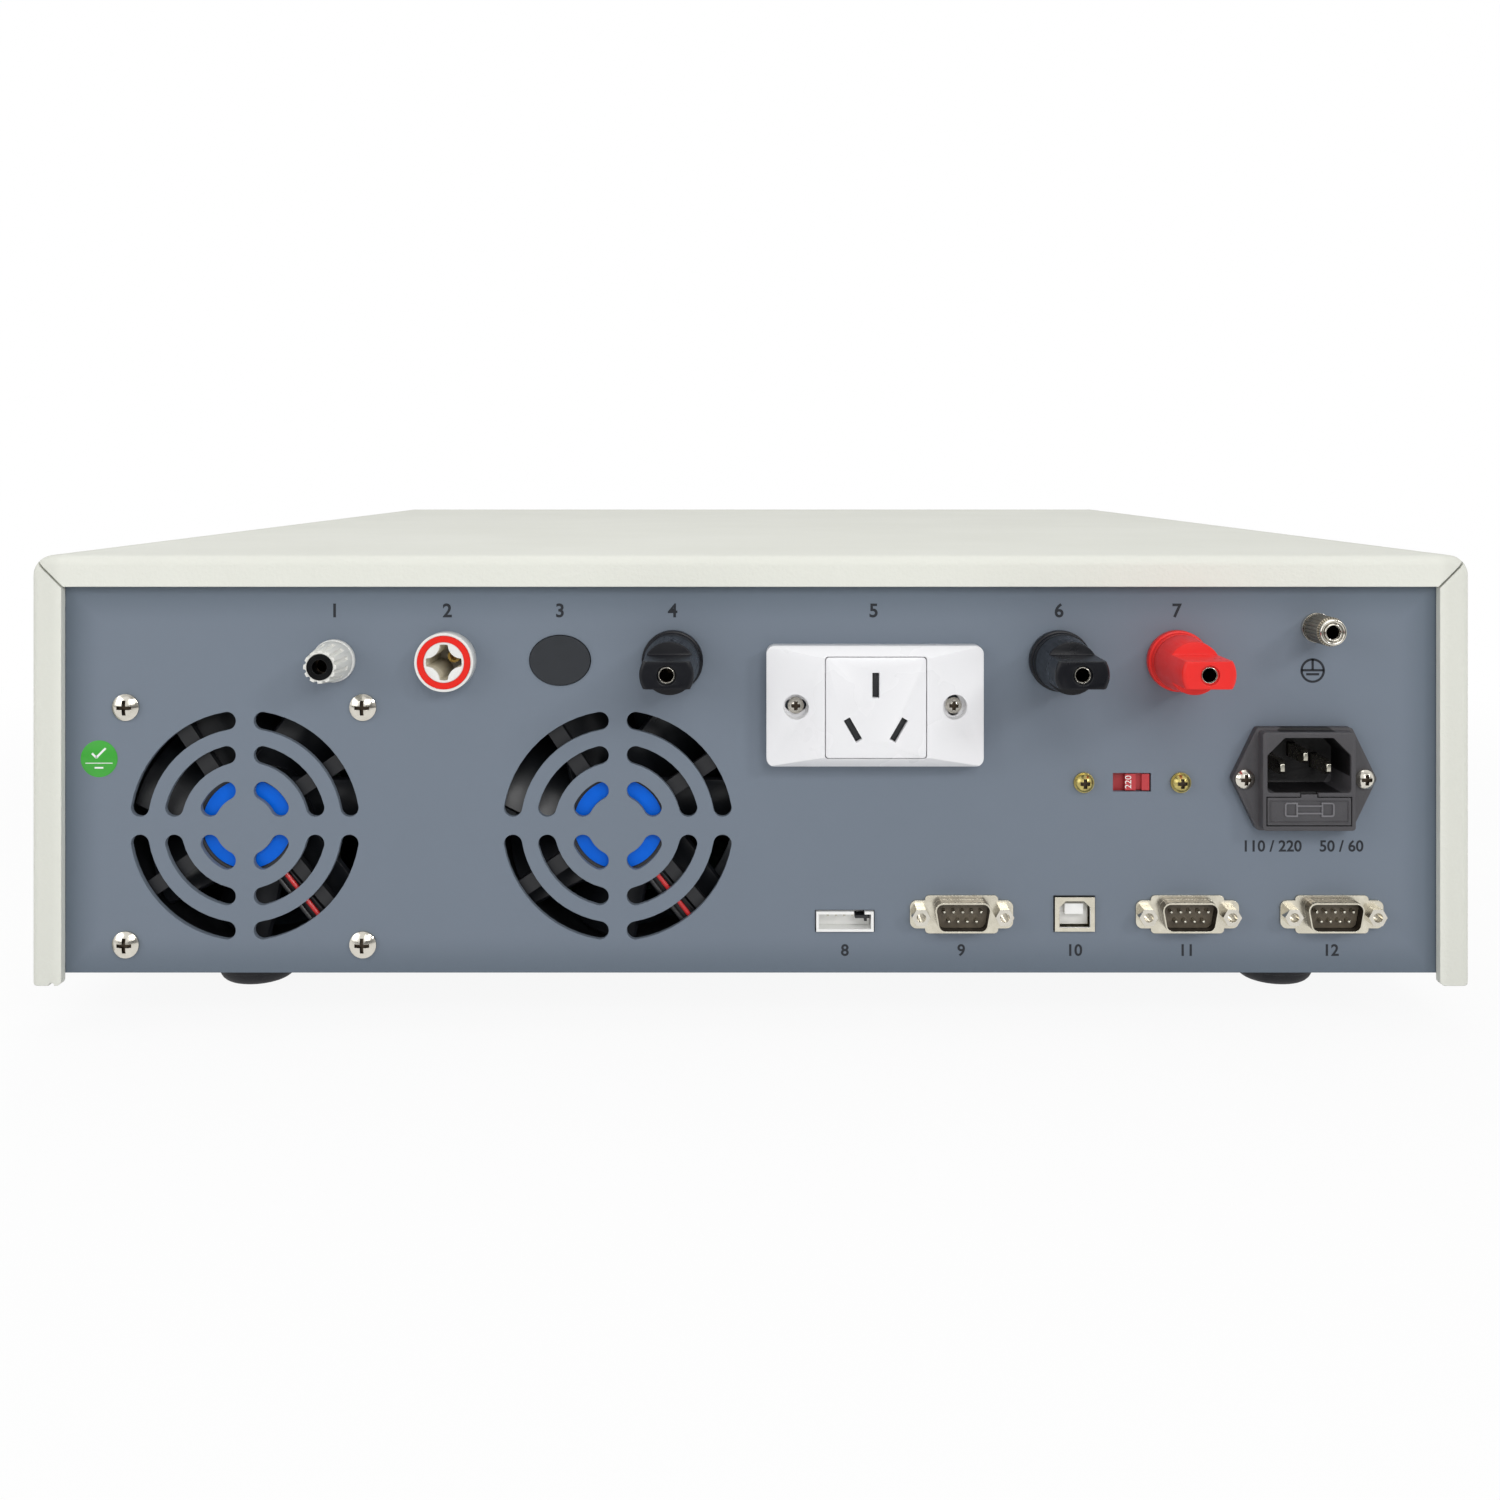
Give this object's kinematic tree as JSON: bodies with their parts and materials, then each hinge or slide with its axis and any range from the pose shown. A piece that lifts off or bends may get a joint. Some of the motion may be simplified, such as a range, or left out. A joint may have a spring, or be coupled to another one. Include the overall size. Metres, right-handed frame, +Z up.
{
  "type": "electrical safety tester",
  "caption": "Bench electrical safety tester in a folded steel case with rear fans, current posts, mains outlet, fused mains inlet and data ports.",
  "frame": {"origin": "middle of the whole instrument's box, on the plane its feet stand on", "axes": "-Y out of the rear connector panel, +Y out of the operator's front, +X to the right seen from the rear, +Z up"},
  "size_m": [0.4362, 0.5354, 0.144],
  "materials": {
    "cover_paint": "fine-texture powder coat, warm off-white",
    "panel_paint": "smooth matt powder coat, blue grey",
    "front_paint": "matt powder coat, dark grey",
    "bezel_paint": "fine-texture powder coat, warm off-white",
    "display_glass": "black-backed touch glass",
    "display_metal": "plated sheet",
    "foot_rubber": "moulded matt rubber",
    "screw_nickel": "nickel plate",
    "screw_yellow": "yellow passivated zinc",
    "fan_plastic": "moulded satin",
    "blade_plastic": "moulded semi-gloss",
    "wire": "extruded insulation, one red and one black",
    "bracket_steel": "galvanised sheet",
    "white_plastic": "moulded gloss",
    "cap_white": "moulded satin",
    "black_plastic": "moulded gloss",
    "red_ring": "moulded gloss",
    "plug_grey": "moulded matt",
    "post_black": "moulded gloss",
    "post_red": "moulded gloss",
    "brass": "turned",
    "outlet_white": "moulded gloss",
    "earth_nickel": "nickel plate, knurled",
    "inlet_black": "moulded satin",
    "pin_metal": "tin plate",
    "fuse_glass": "glass tube with plated caps",
    "selector_black": "moulded satin",
    "selector_red": "moulded semi-gloss",
    "header_white": "moulded gloss",
    "port_nickel": "nickel-plated drawn steel",
    "port_insert": "moulded satin",
    "board_green": "solder mask",
    "transformer_core": "varnished laminations",
    "potting": "cast epoxy",
    "sink_aluminium": "extruded",
    "rocker_black": "moulded gloss",
    "button_green": "moulded gloss",
    "button_red": "moulded gloss"
  },
  "bodies": {
    "case": {"top_cover": "cover_paint", "bottom_tray": "panel_paint", "rear_panel": "panel_paint", "front_panel": "front_paint", "front_bezel": "bezel_paint", "display_window": "display_glass", "display_module": "display_metal", "rubber_feet": "foot_rubber", "foot_screws": "screw_nickel", "cover_screws": "screw_nickel", "fan_frames": "fan_plastic", "fan_leads": "wire", "fan_screws": "screw_nickel", "fan_bracket": "bracket_steel", "return_base": "white_plastic", "return_stem": "brass", "hv_socket_body": "white_plastic", "hv_socket_ring": "red_ring", "blanking_plug": "plug_grey", "post_bases": "post_black", "live_base": "post_red", "post_stems": "earth_nickel", "outlet_plate": "outlet_white", "outlet_insert": "outlet_white", "socket_contacts": "brass", "panel_screws": "screw_nickel", "selector_screws": "screw_yellow", "earth_stem": "earth_nickel", "inlet_housing": "inlet_black", "inlet_pins": "pin_metal", "selector_housing": "selector_black", "signal_header": "header_white", "port_shells": "port_nickel", "port_inserts": "port_insert", "port_pins": "pin_metal", "jackscrews": "port_nickel", "data_tongue": "header_white", "circuit_boards": "board_green", "power_transformer": "transformer_core", "hv_transformer": "potting", "heat_sink": "sink_aluminium", "rocker_frame": "rocker_black"},
    "fan_rotor_1": {"fan_rotor_1": "blade_plastic"},
    "fan_rotor_2": {"fan_rotor_2": "blade_plastic"},
    "return_lift": {"return_ring": "black_plastic"},
    "return_turn": {"return_cap": "cap_white"},
    "current_low_lift": {"current_low_sleeve": "brass"},
    "current_low_turn": {"current_low_knob": "post_black"},
    "neutral_lift": {"neutral_sleeve": "brass"},
    "neutral_turn": {"neutral_knob": "post_black"},
    "live_lift": {"live_sleeve": "brass"},
    "live_turn": {"live_knob": "post_red"},
    "earth_lift": {"earth_ring": "earth_nickel"},
    "earth_turn": {"earth_nut": "earth_nickel"},
    "fuse_drawer": {"fuse_drawer": "inlet_black", "fuses": "fuse_glass"},
    "selector": {"selector_slider": "selector_red"},
    "start": {"start_button": "button_green"},
    "stop": {"stop_button": "button_red"},
    "rocker": {"power_rocker": "rocker_black"}
  },
  "joints": [
    {"name": "fan_1_spin", "type": "hinge", "parent": "case", "child": "fan_rotor_1", "pos_m": [-0.1526, -0.21875, 0.0623], "axis": [0, -1, 0], "continuous": true},
    {"name": "fan_2_spin", "type": "hinge", "parent": "case", "child": "fan_rotor_2", "pos_m": [-0.0401, -0.21875, 0.0623], "axis": [0, -1, 0], "continuous": true},
    {"name": "return_cap_lift", "type": "slide", "parent": "case", "child": "return_lift", "axis": [0, -1, 0], "range_m": [0, 0.00401]},
    {"name": "return_cap_turn", "type": "hinge", "parent": "return_lift", "child": "return_turn", "pos_m": [-0.1255, -0.24575, 0.1122], "axis": [0, -1, 0], "range_deg": [0, 1440]},
    {"name": "current_low_cap_lift", "type": "slide", "parent": "case", "child": "current_low_lift", "axis": [0, -1, 0], "range_m": [0, 0.00601]},
    {"name": "current_low_cap_turn", "type": "hinge", "parent": "current_low_lift", "child": "current_low_turn", "pos_m": [-0.0235, -0.24575, 0.1122], "axis": [0, -1, 0], "range_deg": [0, 1440]},
    {"name": "neutral_cap_lift", "type": "slide", "parent": "case", "child": "neutral_lift", "axis": [0, -1, 0], "range_m": [0, 0.00601]},
    {"name": "neutral_cap_turn", "type": "hinge", "parent": "neutral_lift", "child": "neutral_turn", "pos_m": [0.093, -0.24575, 0.1122], "axis": [0, -1, 0], "range_deg": [0, 1440]},
    {"name": "live_cap_lift", "type": "slide", "parent": "case", "child": "live_lift", "axis": [0, -1, 0], "range_m": [0, 0.00601]},
    {"name": "live_cap_turn", "type": "hinge", "parent": "live_lift", "child": "live_turn", "pos_m": [0.1285, -0.24575, 0.1122], "axis": [0, -1, 0], "range_deg": [0, 1440]},
    {"name": "earth_cap_lift", "type": "slide", "parent": "case", "child": "earth_lift", "axis": [0, -1, 0], "range_m": [0, 0.00401]},
    {"name": "earth_cap_turn", "type": "hinge", "parent": "earth_lift", "child": "earth_turn", "pos_m": [0.1704, -0.24575, 0.1221], "axis": [0, -1, 0], "range_deg": [0, 1440]},
    {"name": "fuse_drawer_slide", "type": "slide", "parent": "case", "child": "fuse_drawer", "axis": [0, -1, 0], "range_m": [0, 0.018]},
    {"name": "selector_slide", "type": "slide", "parent": "case", "child": "selector", "axis": [-1, 0, 0], "range_m": [0, 0.0034]},
    {"name": "start_press", "type": "slide", "parent": "case", "child": "start", "axis": [0, -1, 0], "range_m": [0, 0.003], "stiffness_N_per_m": 600},
    {"name": "stop_press", "type": "slide", "parent": "case", "child": "stop", "axis": [0, -1, 0], "range_m": [0, 0.003], "stiffness_N_per_m": 600},
    {"name": "rocker_tilt", "type": "hinge", "parent": "case", "child": "rocker", "pos_m": [-0.178, 0.25875, 0.0575], "axis": [1, 0, 0], "range_deg": [0, 20]}
  ],
  "couplings": [
    {"joint": "return_cap_lift", "follows": "return_cap_turn", "m_per_rad": 0.00015915},
    {"joint": "current_low_cap_lift", "follows": "current_low_cap_turn", "m_per_rad": 0.00023873},
    {"joint": "neutral_cap_lift", "follows": "neutral_cap_turn", "m_per_rad": 0.00023873},
    {"joint": "live_cap_lift", "follows": "live_cap_turn", "m_per_rad": 0.00023873},
    {"joint": "earth_cap_lift", "follows": "earth_cap_turn", "m_per_rad": 0.00015915}
  ]
}
